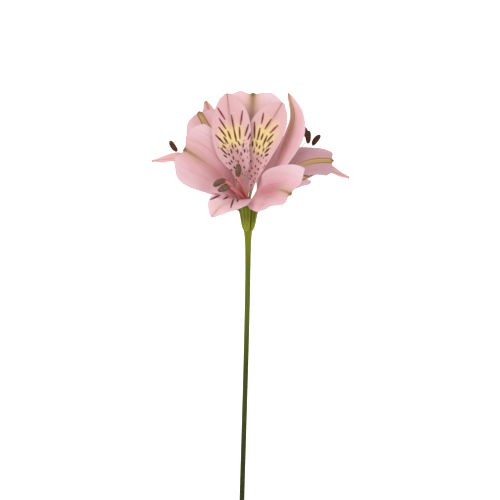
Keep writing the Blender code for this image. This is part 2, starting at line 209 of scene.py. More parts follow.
TEPALS = {
    "front": (
        {"name": "tepal_outer_top", "whorl": "outer", "hour": 0, "half_width": 14.8, "cup": (0.2, 0.2),
         "path": ((0.6, 28, 6.0), (1.6, 44, 6.5), (2.4, 62.2, 6.0)), "face": (0, -0.05, 1), "wave": 0.08,
         "end": (0.9, 0.04, 0.02)},
        {"name": "tepal_inner_left", "whorl": "inner", "hour": 60, "half_width": 9.2, "cup": (0.3, 0.1),
         "path": ((-3.6, 26, 13.5), (-7.2, 36, 15.6), (-7.8, 46, 16), (-9.6, 60.6, 15)),
         "face": (0.1, -0.1, 1), "end": (0.82, 0.0, 0.03)},
        {"name": "tepal_outer_left", "whorl": "outer", "hour": 120, "half_width": 16.4, "cup": (0.3, 0.1),
         "path": ((-9.5, 19.2, 13.5), (-17, 26.8, 17.5), (-24.6, 32.2, 20.5), (-31.6, 36.4, 22)),
         "face": (0.3, 0.3, 0.9), "end": (0.85, 0.08, 0.02), "skew": 0.01},
        {"name": "tepal_inner_low", "whorl": "inner", "hour": 180, "half_width": 7.8, "cup": (0.2, 0.4),
         "path": ((-4.3, 11.9, 19.5), (-8.8, 10.4, 28.5), (-13.2, 8.0, 33), (-16.4, 4.0, 36)),
         "face": (-0.2, 0.6, 0.8), "end": (0.74, 0.0, 0.05), "outline": BROAD_INNER_OUTLINE},
        {"name": "tepal_outer_right", "whorl": "outer", "hour": 240, "half_width": 13.2, "cup": (0.4, 0.5),
         "path": ((5, 14.4, 19), (10.1, 16.3, 26), (15.8, 16.0, 34), (20.6, 13.6, 39)),
         "face": (-0.2, 0.35, 0.9), "end": (0.87, 0.07, 0.03), "skew": -0.07, "outline": BROAD_OUTLINE},
        {"name": "tepal_inner_right", "whorl": "inner", "hour": 300, "half_width": 8.5, "cup": (0.1, 0.35),
         "path": ((3.3, 27, 10.2), (6.7, 40, 11.4), (15.8, 56.5, 12.5)), "face": (-0.1, -0.1, 1),
         "end": (0.82, 0.0, 0.03)},
    ),
    "left": (
        {"name": "tepal_outer_front", "whorl": "outer", "hour": 0, "half_width": 11.2, "cup": (0.3, 0.3),
         "path": ((-9, 24, 0), (-16.5, 41, 0), (-22.8, 52.6, -2)), "face": (-0.2, -0.2, -1),
         "end": (0.78, 0.02, 0.03)},
        {"name": "tepal_inner_top", "whorl": "inner", "hour": 60, "half_width": 5.6, "cup": (0.3, 0.3),
         "path": ((-8, 26, -7), (-14.2, 42, -12), (-19.6, 58, -16)), "face": (-0.5, -0.1, -0.8),
         "end": (0.78, 0.0, 0.03)},
        {"name": "tepal_outer_top", "whorl": "outer", "hour": 120, "half_width": 12.5, "cup": (0.3, 0.3),
         "path": ((-3.4, 22.5, -15.5), (1, 31.5, -28), (3, 37, -40.2)), "face": (-0.6, 0.5, -0.2)},
        {"name": "tepal_inner_back", "whorl": "inner", "hour": 180, "half_width": 6.8, "cup": (0.3, 0.3),
         "path": ((-8.6, 16.2, -15.6), (-13.4, 25.4, -28.6), (-15, 32.6, -41.85)), "face": (-0.4, 0.8, 0.3),
         "end": (0.78, 0.0, 0.03)},
        {"name": "tepal_outer_back", "whorl": "outer", "hour": 240, "half_width": 10.5, "cup": (0.3, 0.3),
         "path": ((-11, 12.5, -12), (-18, 16.5, -24), (-23, 20.5, -37)), "face": (0.2, 0.9, 0.2)},
        {"name": "tepal_inner_left", "whorl": "inner", "hour": 300, "half_width": 6.0, "cup": (0.3, 0.3),
         "path": ((-15, 16.5, -8), (-30, 30, -12), (-44.6, 30.2, -14)), "face": (0.2, 0.9, 0.4),
         "end": (0.78, 0.0, 0.03)},
    ),
    "right": (
        {"name": "tepal_outer_front", "whorl": "outer", "hour": 0, "half_width": 7.4, "cup": (0.5, 2.0),
         "path": ((7.8, 20, 2), (13.2, 28, 4), (17.8, 39.6, 6), (20.8, 50, 5), (18.6, 61.0, 3)),
         "face": (0.5, 0, -0.87), "end": (0.6, 0.0, 0.04), "outline": POINTED_OUTLINE},
        {"name": "tepal_inner_front", "whorl": "inner", "hour": 60, "half_width": 6.0, "cup": (0.3, 0.3),
         "path": ((11.5, 21, -7), (17, 33, -11), (22, 46, -13)), "face": (0.6, 0, -0.8),
         "end": (0.78, 0.0, 0.03)},
        {"name": "tepal_outer_right", "whorl": "outer", "hour": 120, "half_width": 8.9, "cup": (0.9, 0.9),
         "path": ((12, 17.5, -1), (22.5, 27.0, -1), (31, 30.0, -3), (40.0, 30.2, -6)),
         "face": (-0.1, 0.1, -1), "end": (0.82, 0.04, 0.03), "skew": -0.14},
        {"name": "tepal_inner_right", "whorl": "inner", "hour": 180, "half_width": 6.0, "cup": (0.3, 0.3),
         "path": ((16, 15.8, -12), (32, 26, -18), (47.0, 22.6, -21)), "face": (-0.3, 0.85, 0.4),
         "end": (0.78, 0.0, 0.03)},
        {"name": "tepal_outer_back", "whorl": "outer", "hour": 240, "half_width": 13.0, "cup": (0.3, 0.3),
         "path": ((8, 16, -15), (15, 22, -28), (20, 25, -41.4)), "face": (0.3, 0.8, 0.2)},
        {"name": "tepal_inner_left", "whorl": "inner", "hour": 300, "half_width": 7.0, "cup": (0.3, 0.3),
         "path": ((4.6, 18, -5), (7.5, 27, -8), (9.5, 35, -11), (11, 50, -16)), "face": (0.5, -0.1, -0.8),
         "end": (0.78, 0.0, 0.03)},
    ),
}

# Anther middles and the direction that each points in, for the hours 30, 90, 150, 210, 270 and 330
STAMENS = {
    "front": (((-12.6, 19.8, 25), (-0.85, -0.3, 0.2)), ((-10.2, 17.4, 21), (-0.9, -0.3, 0.2)),
              ((-13.1, 19.3, 34), (-0.85, -0.45, 0.2)), ((-10.8, 16.6, 37), (-0.95, -0.3, 0.2)),
              ((-4.8, 25.3, 31), (0.1, 1, 0.2)), ((-4.6, 25.1, 20), (0.1, 1, 0.2))),
    "left": (((-25, 40, -12), (-0.4, 0.8, -0.2)), ((-22, 40, -20), (-0.4, 0.7, -0.5)),
             ((-23, 34, -27), (-0.5, 0.4, -0.7)), ((-28, 31, -24), (-0.7, 0.4, -0.6)),
             ((-34.3, 37, -9), (-0.55, 0.82, 0)), ((-26.2, 35.4, -6.5), (-0.3, 0.9, 0))),
    "right": (((28.1, 41.2, -14), (0.05, 1, 0)), ((31.7, 39.8, -17), (0.6, 0.8, 0)),
              ((31, 34, -21), (0.6, 0.5, -0.5)), ((27, 33, -27), (0.5, 0.5, -0.7)),
              ((22, 37, -27), (0.2, 0.8, -0.5)), ((27.1, 43.2, -21), (-0.3, 0.9, 0))),
}

# Dark markings on the front flower's inner tepals, as strokes in the photograph's pixels: x, y of both ends
LEFT_STREAKS = (
    (218, 109, 225, 120), (219.5, 119.5, 226, 129.5), (219, 128, 226, 137), (216, 136, 224, 144),
    (231.5, 116, 234, 130), (234, 130, 236.5, 142), (228, 132, 231, 139.5), (224, 138, 228, 144),
    (239.5, 128, 240, 139), (242.5, 112, 240.5, 125.5), (248.5, 125.5, 245, 136.5), (252, 132, 248, 140),
)
LEFT_DASHES = (
    (223, 146, 226, 149), (221, 149, 227, 155), (224, 155.5, 227, 158), (232, 145, 233.5, 149),
    (235, 145, 236, 148), (238, 142, 240, 146), (243.5, 144, 243, 148), (231, 150, 232, 154),
    (237.5, 150, 238, 154), (228.5, 154, 230, 156), (233, 157, 234, 160), (231, 161, 232.5, 163),
    (229, 163, 231, 165), (241, 153, 241.5, 156), (245, 150, 244.5, 153), (238, 161, 238.5, 163),
    (243, 160, 243, 162), (234, 167, 235, 169), (240, 168, 240.5, 170), (237, 174, 237.5, 176),
    (231, 170, 232, 171), (244, 167, 244, 168), (236, 180, 236.5, 181),
)
RIGHT_STREAKS = (
    (263.5, 114, 261.5, 124), (271, 120, 265, 129.5), (277.5, 126, 270, 133.5), (254.5, 123, 254.5, 138),
    (260, 129, 257.5, 140), (263, 134.5, 261, 140), (267, 136.5, 263, 145.5), (273, 135, 267, 142),
    (272.5, 142, 267.5, 147), (269, 149, 265, 153), (268, 154.5, 265, 156.5), (252.5, 142, 252.5, 147),
)
RIGHT_DASHES = (
    (257, 144, 256.5, 147), (260, 146, 259, 149), (264, 149, 263, 151), (254, 151, 254, 153),
    (258.5, 153, 258, 155), (262, 155, 261, 157), (250.5, 161, 250.5, 162), (257, 159, 257, 160),
    (258.5, 161, 258.5, 162), (255.5, 166, 255.5, 167), (252, 168, 252, 169), (249.5, 171, 249.5, 172),
    (251.5, 176, 251.5, 177), (250, 178.5, 250, 179.5), (254, 182, 254, 182.5), (251, 185, 251, 185.5),
    (261, 163, 260.5, 164), (258, 169, 258, 170), (255, 173, 255, 174),
)
LOW_STREAKS = (
    (213, 194, 220, 192.5), (211, 200, 220, 196), (224, 199.5, 231, 195.5), (233.5, 200, 231, 208),
    (238.5, 198, 237.5, 202), (241, 197, 241, 198),
)
PHOTO_MARKS = {
    "front_tepal_inner_left": (LEFT_STREAKS, LEFT_DASHES),
    "front_tepal_inner_right": (RIGHT_STREAKS, RIGHT_DASHES),
    "front_tepal_inner_low": (LOW_STREAKS, ()),
}
STREAK_HALF_WIDTH = 0.44
DASH_HALF_WIDTH = 0.38
DOT_HALF_WIDTH = 0.26
STROKE_END_WIDTH = 0.55
STROKE_ENDS = (0.08, 0.92)
SOFT_EDGE = 0.28

# Fine dots between them: how many, how dark, and how far across, along and how long in millimetres
FINE_DOTS = 44
DOT_STRENGTH = 0.8
DOT_LANES = 0.7
DOT_SHARES = (0.2, 0.62)
DOT_LENGTHS = (0.2, 0.9)

# Markings of the other inner tepals: rows of streaks that grow longer up the tepal, drawn at random
STREAK_SHARES = (0.3, 0.7, 0.05)
STREAK_LANES = (-0.66, 0.7, 0.22)
SHARE_JITTER = 0.02
LANE_JITTER = 0.07
LANE_FAN = 1.06
SHORTEST_STREAK = 0.006
STREAK_GROWTH = 0.16
DOTS_BELOW = 0.38
STREAK_ODDS = 0.72


def paint(red, green, blue):
    """A display colour from 0 to 255 as the linear colour that a shader takes."""
    linear = []
    for value in (red, green, blue):
        share = value / 255
        linear.append(share / 12.92 if share <= 0.04045 else ((share + 0.055) / 1.055) ** 2.4)
    return (*linear, 1)


# Petal colours
HEART = paint(208, 138, 142)
BODY = paint(228, 184, 190)
EDGE = paint(232, 206, 212)
INNER_HEART = paint(218, 166, 164)
INNER_BODY = paint(230, 186, 190)
INNER_EDGE = paint(230, 192, 194)
PALE_HEART = paint(236, 198, 200)
PALE_BODY = paint(236, 202, 206)
PALE_EDGE = paint(236, 212, 218)
# Darker copies of the petal colours: painted shade for the right flower's outer right tepal, which lies in
# shade behind the others
SHADED_HEART = paint(192, 138, 140)
SHADED_BODY = paint(204, 160, 166)
SHADED_EDGE = paint(208, 174, 182)
BAND = paint(208, 130, 140)
VEIN = paint(190, 112, 120)
YELLOW = paint(248, 226, 146)
KEEL = paint(200, 168, 104)
KEEL_SHADE = paint(146, 104, 52)
KEEL_EDGE = paint(136, 98, 48)
CLAW = paint(196, 170, 96)
PINK_CLAW = paint(216, 166, 164)
PALE_CLAW = paint(240, 206, 206)
TIP = paint(112, 84, 50)
MARK_LOW = paint(84, 12, 24)
MARK_HIGH = paint(142, 18, 54)

# Where a petal's colours lie: the two ends of each smooth step, along the tepal or aside from its middle,
# and how strongly each colour covers what is under it
REACH = 0.55
HEART_ENDS = (0.22, 0.6)
EDGE_STARTS = (0.55, 1.0)
BAND_STARTS = (0.26, 0.46)
BAND_ENDS = (0.86, 0.62)
BAND_ASIDE = (0.52, 0.05)
BAND_STRENGTH = 0.8
VEIN_LANES = 26.0
VEIN_RUN = 2.4
VEIN_EDGES = (0.5, 0.72)
VEIN_ENDS = (1.05, 0.75)
VEIN_ASIDE = (1.0, 0.6)
VEIN_STRENGTH = 0.38
BLOTCH_STARTS = (0.44, 0.58)
BLOTCH_ENDS = (0.84, 0.68)
BLOTCH_ASIDE = (0.92, 0.3)
BLOTCH_STRENGTH = 0.85
HALO_STARTS = (0.5, 0.95)
HALO_ASIDE = (0.34, 0.04)
HALO_STRENGTH = 4
LINE_WIDTH = 0.1
WIDE_LINE = 0.15
FINE_LINE = 0.04
LINE_STARTS = (0.6, 1.0)
LINE_STRENGTH = 0.7
STRIPE_STARTS = (0.38, 0.88)
STRIPE_ASIDE = (0.24, 0.08)
STRIPE_STRENGTH = 0.85
STRIPE_SIDE_STARTS = (0.4, 0.9)
STRIPE_SIDE_INNER = (0.07, 0.11)
STRIPE_SIDE_OUTER = (0.16, 0.12)
STRIPE_CENTRE = (0.03, 0.0)
STRIPE_CENTRE_STRENGTH = 0.5
CLAW_ENDS = (0.2, 0.06)
TIP_STARTS = (0.95, 0.99)
TIP_ASIDE = (0.12, 0.03)
TIP_STRENGTH = 0.7
MARK_TURNS = (0.55, 0.85)
THROUGH_LIGHT = 0.26
CLOUD_SCALE = 90.0
CLOUD_SHIFT = 0.3
PETAL_GRAIN = 900.0

# Colours of the green parts and the stamens. An anther has a dark one and a pale one
PEDICEL_SKIN = paint(136, 142, 26)
OVARY_SKIN = paint(116, 122, 16)
# Painted shade: the ovary's top darkens to brown where the claws shade it, and its grooves darken between
# the ribs
OVARY_TOP_SHADE = paint(98, 80, 16)
OVARY_GROOVE_SHADE = paint(66, 66, 10)
OVARY_SPECK = paint(126, 132, 36)
STYLE_SKIN = paint(190, 118, 112)
STALK_TOP = paint(122, 128, 20)
STALK_UPPER = paint(88, 98, 20)
STALK_MIDDLE = paint(58, 66, 14)
STALK_END = paint(44, 48, 12)
STALK_SPECK = paint(80, 88, 30)
FILAMENT_ROOT = paint(224, 136, 130)
FILAMENT_MIDDLE = paint(222, 118, 116)
FILAMENT_END = paint(226, 146, 140)
GREY_ANTHER = (paint(82, 56, 42), paint(126, 98, 78))
BROWN_ANTHER = (paint(62, 32, 22), paint(104, 66, 46))


def smooth_curve(points, shares):
    """Points at the given shares of the length of a Catmull-Rom curve through the points."""
    points = np.array(points, float)
    padded = np.vstack([2 * points[0] - points[1], points, 2 * points[-1] - points[-2]])
    dense = []
    for a, b, c, d in zip(padded, padded[1:], padded[2:], padded[3:]):
        for t in np.linspace(0, 1, CURVE_STEPS, endpoint=False):
            dense.append(0.5 * (2 * b + (c - a) * t + (2 * a - 5 * b + 4 * c - d) * t**2
                                + (3 * b - a - 3 * c + d) * t**3))
    dense = np.array(dense + [points[-1]])
    length = np.concatenate([[0], np.cumsum(np.linalg.norm(np.diff(dense, axis=0), axis=1))])
    reached = np.array(shares) * length[-1]
    return np.stack([np.interp(reached, length, dense[:, i]) for i in range(3)], axis=1)


def at(table, share):
    """The value of a (share, value) table at a share, with linear steps between its entries."""
    return np.interp(share, [row[0] for row in table], [row[1] for row in table])


def rounded_at(table, share):
    """As at, but eased over a small window, so that the outline has no corners."""
    window = np.linspace(-OUTLINE_WINDOW, OUTLINE_WINDOW, 9)
    return np.mean([at(table, np.clip(share + step, 0, 1)) for step in window], axis=0)


def bell(value, width):
    """1 where the value is 0, falling off smoothly over the width."""
    return np.exp(-((value / width) ** 2))


class Shader:
    """A material's node tree, with short ways to add nodes to it."""

    def __init__(self, name, roughness, specular=0.5):
        self.material = bpy.data.materials.new(name)
        self.material.use_nodes = True
        self.tree = self.material.node_tree
        self.surface = self.tree.nodes["Principled BSDF"]
        self.surface.inputs["Roughness"].default_value = roughness
        self.surface.inputs["Specular IOR Level"].default_value = specular

    def add(self, kind, inputs, **settings):
        """A node with its settings made and its inputs set, or linked where an input is given a socket."""
        node = self.tree.nodes.new(kind)
        for key, value in settings.items():
            setattr(node, key, value)
        for key, value in inputs.items():
            if isinstance(value, bpy.types.NodeSocket):
                self.tree.links.new(value, node.inputs[key])
            else:
                node.inputs[key].default_value = value
        return node

    def mask(self, name):
        """The value that a mesh attribute gives each point."""
        return self.add("ShaderNodeAttribute", {}, attribute_name=name).outputs["Fac"]

    def math(self, operation, *values):
        """One step of arithmetic on up to three sockets or numbers."""
        return self.add("ShaderNodeMath", dict(enumerate(values)), operation=operation).outputs[0]

    def product(self, first, *others):
        """All the sockets or numbers multiplied together."""
        for other in others:
            first = self.math("MULTIPLY", first, other)
        return first

    def ease(self, value, low, high):
        """0 below low, 1 above high and smooth between them. With low above high it falls instead."""
        inputs = {"Value": value, "From Min": low, "From Max": high}
        return self.add("ShaderNodeMapRange", inputs, interpolation_type="SMOOTHSTEP").outputs["Result"]

    def mix(self, share, first, second):
        """The first colour at a share of 0 and the second at 1."""
        node = self.add("ShaderNodeMix", {0: share, 6: first, 7: second}, data_type="RGBA")
        return node.outputs[2]

    def tint(self, skin, colour, *shares):
        """The skin covered with a colour by the product of the shares."""
        return self.mix(self.product(*shares), skin, colour)

    def noise(self, scale, detail=3.0, vector=None):
        """Cloudy values about 0.5. The scale is in clouds a metre, unless a vector is given."""
        vector = vector or self.add("ShaderNodeTexCoord", {}).outputs["Object"]
        inputs = {"Vector": vector, "Scale": scale, "Detail": detail}
        return self.add("ShaderNodeTexNoise", inputs).outputs["Fac"]

    def bump(self, height, distance, strength):
        """Relief from a height, with its distance in millimetres."""
        inputs = {"Height": height, "Distance": distance * MM, "Strength": strength}
        relief = self.add("ShaderNodeBump", inputs)
        self.tree.links.new(relief.outputs["Normal"], self.surface.inputs["Normal"])

    def colour(self, socket):
        """Links a colour to the surface."""
        self.tree.links.new(socket, self.surface.inputs["Base Color"])

    def let_light_through(self, colour, share):
        """Mixes in a share of light that passes through, as in a petal held against a lamp."""
        through = self.add("ShaderNodeBsdfTranslucent", {"Color": colour})
        inputs = {0: share, 1: self.surface.outputs[0], 2: through.outputs[0]}
        mixed = self.add("ShaderNodeMixShader", inputs)
        output = self.tree.nodes["Material Output"]
        self.tree.links.new(mixed.outputs[0], output.inputs["Surface"])


def petal_finish(name, heart, body, edge, claw, blotch=False, band=False, line=LINE_WIDTH):
    """Petal skin: heart colour low in the middle, body colour, pale edges, veins, keel, claw, tip and marks.

    The blotch is an inner tepal's yellow, the band is a deeper pink halfway up, and the line is the width of
    the dark line inside the tip.
    """
    shader = Shader(name, 0.6, 0.3)
    along = shader.mask("along")
    across = shader.mask("across")
    ending = shader.mask("ending")
    inside = shader.mask("inside")
    outside = shader.math("SUBTRACT", 1.0, inside)
    aside = shader.math("ABSOLUTE", across)
    cloud = shader.math("MULTIPLY_ADD", shader.noise(CLOUD_SCALE), CLOUD_SHIFT, -CLOUD_SHIFT / 2)
    # Body: deeper in the middle of the lower half, paler to the margin and the end
    reach = shader.math("MULTIPLY_ADD", aside, REACH, shader.math("MULTIPLY", along, REACH))
    reach = shader.math("ADD", reach, cloud)
    skin = shader.mix(shader.ease(reach, *HEART_ENDS), heart, body)
    skin = shader.mix(shader.ease(reach, *EDGE_STARTS), skin, edge)
    if band:
        middle = shader.ease(shader.math("ADD", aside, cloud), *BAND_ASIDE)
        skin = shader.tint(skin, BAND, shader.ease(along, *BAND_STARTS), shader.ease(along, *BAND_ENDS),
                           middle, BAND_STRENGTH)
    # Veins that fan out from the claw
    lanes = shader.add("ShaderNodeCombineXYZ", {"X": shader.math("MULTIPLY", across, VEIN_LANES),
                                                "Y": shader.math("MULTIPLY", along, VEIN_RUN),
                                                "Z": shader.mask("seed")}).outputs[0]
    vein = shader.noise(1.0, vector=lanes)
    fade = shader.product(shader.ease(along, *VEIN_ENDS), shader.ease(aside, *VEIN_ASIDE))
    skin = shader.tint(skin, VEIN, shader.ease(vein, *VEIN_EDGES), fade, VEIN_STRENGTH)
    if blotch:
        height = shader.math("ADD", along, cloud)
        skin = shader.tint(skin, YELLOW, shader.ease(height, *BLOTCH_STARTS),
                           shader.ease(height, *BLOTCH_ENDS), shader.ease(aside, *BLOTCH_ASIDE),
                           inside, BLOTCH_STRENGTH)
    else:
        skin = shader.tint(skin, KEEL, shader.ease(aside, *HALO_ASIDE), shader.ease(along, *HALO_STARTS),
                           inside, HALO_STRENGTH * line)
    # Keel: a dark line inside, a green and gold stripe with darker sides and centre outside
    skin = shader.tint(skin, KEEL_SHADE, shader.ease(aside, line, 0.0), shader.ease(ending, *LINE_STARTS),
                       inside, LINE_STRENGTH)
    skin = shader.tint(skin, KEEL, shader.ease(aside, *STRIPE_ASIDE), shader.ease(along, *STRIPE_STARTS),
                       outside, STRIPE_STRENGTH)
    sides = shader.product(shader.ease(aside, *STRIPE_SIDE_INNER), shader.ease(aside, *STRIPE_SIDE_OUTER))
    centre = shader.product(shader.ease(aside, *STRIPE_CENTRE), STRIPE_CENTRE_STRENGTH)
    sides = shader.math("MAXIMUM", sides, centre)
    skin = shader.tint(skin, KEEL_EDGE, sides, outside, shader.ease(along, *STRIPE_SIDE_STARTS),
                       STRIPE_STRENGTH)
    # Claw, tip and markings
    skin = shader.tint(skin, claw, shader.ease(along, *CLAW_ENDS))
    skin = shader.tint(skin, TIP, shader.ease(ending, *TIP_STARTS), shader.ease(aside, *TIP_ASIDE),
                       TIP_STRENGTH)
    mark = shader.mix(shader.ease(along, *MARK_TURNS), MARK_LOW, MARK_HIGH)
    skin = shader.tint(skin, mark, shader.mask("mark"), inside)
    shader.colour(skin)
    shader.bump(shader.math("ADD", vein, shader.noise(PETAL_GRAIN)), 0.16, 0.7)
    shader.let_light_through(skin, THROUGH_LIGHT)
    return shader.material


def filament_finish():
    """Coral filament, paler at both ends."""
    shader = Shader("filament look", 0.4)
    along = shader.mask("along")
    skin = shader.mix(shader.ease(along, 0.0, 0.5), FILAMENT_ROOT, FILAMENT_MIDDLE)
    shader.colour(shader.mix(shader.ease(along, 0.6, 1.0), skin, FILAMENT_END))
    return shader.material


def anther_finish(name, dark, pale):
    """Dusty anther skin, grained from dark to pale."""
    shader = Shader(name, 0.85, 0.2)
    grain = shader.noise(2600.0, 2.0)
    shader.colour(shader.mix(shader.ease(grain, 0.35, 0.7), dark, pale))
    shader.bump(grain, 0.12, 0.8)
    return shader.material


def green_finish():
    """Plant skin of a pistil: pedicel, ovary with painted shade in its grooves and brown painted shade at
    its top under the claws, and a coral style.
    """
    shader = Shader("green look", 0.42, 0.15)
    speck = shader.noise(260.0)
    along = shader.mask("along")
    skin = shader.mix(shader.ease(along, 0.1, 0.5), PEDICEL_SKIN, OVARY_SKIN)
    # Painted shade: brown at the top of the ovary, under the claws
    skin = shader.mix(shader.ease(along, 0.7, 1.0), skin, OVARY_TOP_SHADE)
    # Painted shade in the grooves between the ribs
    groove = shader.product(shader.ease(shader.mask("ridge"), 0.1, -0.9), shader.ease(along, 0.15, 0.5))
    skin = shader.tint(skin, OVARY_GROOVE_SHADE, groove, 0.6)
    skin = shader.mix(shader.ease(along, 1.05, 1.15), skin, STYLE_SKIN)
    shader.colour(shader.tint(skin, OVARY_SPECK, shader.ease(speck, 0.45, 0.75), 0.4))
    shader.bump(speck, 0.06, 0.5)
    return shader.material


def stalk_finish():
    """Plant skin of the stalk: olive under the umbel and dark green at the cut end."""
    shader = Shader("stalk look", 0.6, 0.1)
    along = shader.mask("along")
    speck = shader.noise(300.0)
    skin = shader.mix(shader.ease(along, 0.0, 0.1), STALK_TOP, STALK_UPPER)
    skin = shader.mix(shader.ease(along, 0.14, 0.36), skin, STALK_MIDDLE)
    skin = shader.mix(shader.ease(along, 0.36, 0.62), skin, STALK_END)
    shader.colour(shader.tint(skin, STALK_SPECK, shader.ease(speck, 0.45, 0.75), 0.2))
    shader.bump(speck, 0.05, 0.4)
    return shader.material


def stroke_cover(spots, strokes, half_width):
    """How much each spot lies under any of the strokes, from 0 to 1. Strokes thin out towards both ends."""
    cover = np.zeros(len(spots))
    for x0, y0, x1, y1 in strokes:
        start = np.array((x0, y0), float)
        run = np.array((x1, y1), float) - start
        share = np.clip(((spots - start) @ run) / max(run @ run, 1e-9), 0, 1)
        away = np.linalg.norm(spots - start - share[:, None] * run, axis=1)
        fullness = np.sin(math.pi * np.clip(share, *STROKE_ENDS))
        reach = half_width * (STROKE_END_WIDTH + (1 - STROKE_END_WIDTH) * fullness)
        cover = np.maximum(cover, np.clip((reach - away) / SOFT_EDGE + 0.5, 0, 1))
    return cover


def pixels_to_head(strokes):
    """Strokes in the photograph's pixels as strokes in the head frame's millimetres."""
    x, y = UMBEL_PIXEL
    return [((x0 - x) * MM_PER_PIXEL, (y - y0) * MM_PER_PIXEL,
             (x1 - x) * MM_PER_PIXEL, (y - y1) * MM_PER_PIXEL) for x0, y0, x1, y1 in strokes]


def common_strokes(length, half_width, random):
    """Streaks and spots of an inner tepal, as (across, along) in millimetres: long ones high, dots low."""
    strokes = []
    for share in np.arange(*STREAK_SHARES):
        for lane in np.arange(*STREAK_LANES):
            across = (lane + random.uniform(-LANE_JITTER, LANE_JITTER)) * half_width
            start = (share + random.uniform(-SHARE_JITTER, SHARE_JITTER)) * length
            run = length * max(SHORTEST_STREAK, STREAK_GROWTH * (share - DOTS_BELOW))
            if random.random() < STREAK_ODDS:
                strokes.append((across, start, across * LANE_FAN, start + run))
    return strokes


def fine_dots(length, half_width, random):
    """Small specks between the streaks, as (across, along) in millimetres."""
    dots = []
    for _ in range(FINE_DOTS):
        across = random.uniform(-DOT_LANES, DOT_LANES) * half_width
        start = random.uniform(*DOT_SHARES) * length
        dots.append((across, start, across, start + random.uniform(*DOT_LENGTHS)))
    return dots


def tepal_marks(name, outer, places, spots, length, half_width, random):
    """How much each point of a tepal lies under a dark marking, from its place or its spot on the sheet."""
    if name not in PHOTO_MARKS:
        if outer:
            return np.zeros(len(spots))
        return stroke_cover(spots, common_strokes(length, half_width, random), STREAK_HALF_WIDTH)
    streaks, dashes = PHOTO_MARKS[name]
    mark = stroke_cover(places, pixels_to_head(streaks), STREAK_HALF_WIDTH)
    mark = np.maximum(mark, stroke_cover(places, pixels_to_head(dashes), DASH_HALF_WIDTH))
    if dashes:
        dots = fine_dots(length, half_width, random)
        mark = np.maximum(mark, DOT_STRENGTH * stroke_cover(spots, dots, DOT_HALF_WIDTH))
    return mark


def sheet_faces(rows, columns, first=0, flip=False):
    """Quads of a grid of points that is stored row by row."""
    faces = []
    for row in range(rows - 1):
        for column in range(columns - 1):
            corner = first + row * columns + column
            quad = (corner, corner + 1, corner + columns + 1, corner + columns)
            faces.append(quad[::-1] if flip else quad)
    return faces


def edge_faces(rows, columns):
    """Quads that join the rims of two equal grids, the second stored right after the first."""
    rim = list(range(columns - 1))
    rim += [row * columns + columns - 1 for row in range(rows - 1)]
    rim += [(rows - 1) * columns + column for column in range(columns - 1, 0, -1)]
    rim += [row * columns for row in range(rows - 1, 0, -1)]
    far = rows * columns
    return [(b, a, a + far, b + far) for a, b in zip(rim, rim[1:] + rim[:1])]


def add_piece(name, points, faces, masks, finish):
    """A smooth mesh in the head frame's millimetres that stands for the CAD node of the same name."""
    mesh = bpy.data.meshes.new(name)
    mesh.from_pydata(((points + HEAD_IN_ROW) * MM).tolist(), [], faces)
    for key, values in masks.items():
        mesh.attributes.new(key, "FLOAT", "POINT").data.foreach_set("value", np.asarray(values, np.float32))
    mesh.shade_smooth()
    mesh.materials.append(finish)
    piece = bpy.data.objects.new(f"look_{name}", mesh)
    bpy.context.scene.collection.objects.link(piece)
    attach(piece, "root")
    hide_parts(name)


def end_line(flower, leaf, across):
    """The share of a tepal's length at which it ends, for each place across it."""
    shoulder, notch, point = leaf.get("end", USUAL_END)
    shoulder = shoulder + leaf.get("skew", 0) * across
    end = shoulder + (1 - shoulder) * np.sqrt(np.clip(1 - np.abs(across) ** ROUND_END, 0, 1))
    end = end - notch * bell(across, NOTCH_WIDTH) + point * bell(across, POINT_WIDTH)
    return end + END_RUFFLE * np.sin(END_RUFFLES * across + flower.clock + leaf["hour"]) * np.abs(across)


